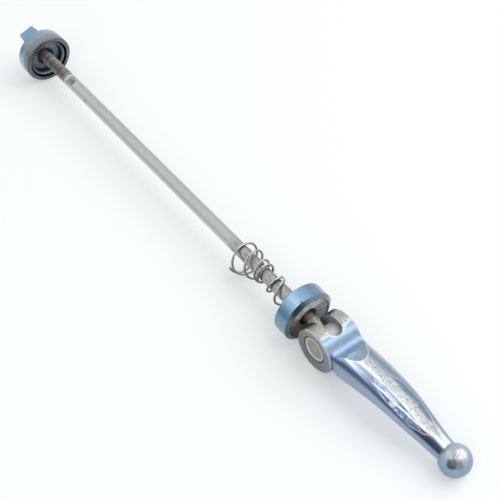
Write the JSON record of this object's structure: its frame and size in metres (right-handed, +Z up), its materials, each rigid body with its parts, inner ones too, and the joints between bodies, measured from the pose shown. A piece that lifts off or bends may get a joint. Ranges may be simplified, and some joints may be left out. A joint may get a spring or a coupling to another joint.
{
  "type": "quick release skewer",
  "caption": "Bicycle axle skewer: slim steel rod with a winged, serrated nut at one end, a cupped end cap and a cam lever with a round tip at the other, and conical springs between.",
  "frame": {"origin": "centre of the bounding box at its lowest level, on the surface the skewer lies on", "axes": "+X along the rod from the nut to the lever, +Z up, the lever's pivot barrel along Y"},
  "size_m": [0.2542, 0.0204, 0.0203],
  "materials": {
    "rod_steel": "ground, slightly stained",
    "barrel_steel": "ground",
    "blued_chrome": "plated with a blue tint, pitted on top",
    "blue_anodised": "blue anodised, satin, worn",
    "dish_bronze": "darkened, turned",
    "spring_wire": "drawn wire",
    "ring_steel": "worn, serrated"
  },
  "bodies": {
    "skewer": {"skewer_rod": "rod_steel", "pivot_barrel": "barrel_steel"},
    "lever": {"lever": "blued_chrome"},
    "cap": {"end_cap": "blue_anodised", "cap_bearing_dish": "dish_bronze", "lever_side_spring": "spring_wire"},
    "nut_side_spring": {"nut_side_spring": "spring_wire"},
    "nut_ring": {"nut_serrated_ring": "ring_steel"},
    "nut": {"nut_body": "blue_anodised"}
  },
  "joints": [
    {"name": "lever_pivot", "type": "hinge", "parent": "skewer", "child": "lever", "pos_m": [0.06348, 0, 0.01016], "axis": [0, 1, 0], "range_deg": [-90, 90]},
    {"name": "cap_slide", "type": "slide", "parent": "skewer", "child": "cap", "axis": [1, 0, 0], "range_m": [-0.003, 0.001]},
    {"name": "spring_slide", "type": "slide", "parent": "skewer", "child": "nut_side_spring", "axis": [1, 0, 0], "range_m": [-0.1, 0]},
    {"name": "nut_travel", "type": "slide", "parent": "skewer", "child": "nut_ring", "axis": [1, 0, 0], "range_m": [-0.0016, 0.0112]},
    {"name": "nut_turn", "type": "hinge", "parent": "nut_ring", "child": "nut", "pos_m": [-0.11474, 0, 0.01016], "axis": [1, 0, 0], "range_deg": [-721, 5041]}
  ],
  "couplings": [
    {"joint": "nut_turn", "follows": "nut_travel", "rad_per_m": 7854}
  ]
}
